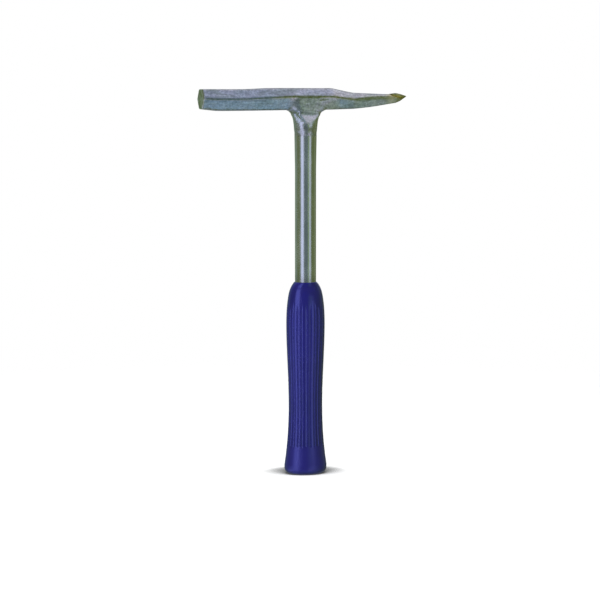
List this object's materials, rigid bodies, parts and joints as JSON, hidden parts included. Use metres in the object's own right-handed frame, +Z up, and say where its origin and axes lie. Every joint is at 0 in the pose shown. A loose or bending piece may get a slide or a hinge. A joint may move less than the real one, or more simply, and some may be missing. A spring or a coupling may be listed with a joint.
{
  "type": "brick hammer",
  "caption": "Brick hammer with a forged hexagonal poll, a long pick with a brazed hard tip, a round tubular steel shaft and an oval fluted plastic grip.",
  "frame": {"origin": "middle of the butt's flat rest face, on the shaft's axis", "axes": "+Z up the shaft from the butt to the head, +X from the striking face towards the pick's point, +Y across the head"},
  "size_m": [0.1855, 0.0296, 0.3298],
  "materials": {
    "forged_steel": "satin, finely textured forging",
    "hard_metal": "ground, with brass-coloured braze",
    "tube_steel": "bright drawn steel",
    "bung_plastic": "matte",
    "grip_plastic": "semi-gloss moulded soft plastic"
  },
  "bodies": {
    "root": {"hammer_head": "forged_steel", "pick_tip": "hard_metal", "shaft_tube": "tube_steel", "tube_bung": "bung_plastic", "grip": "grip_plastic"}
  },
  "joints": []
}
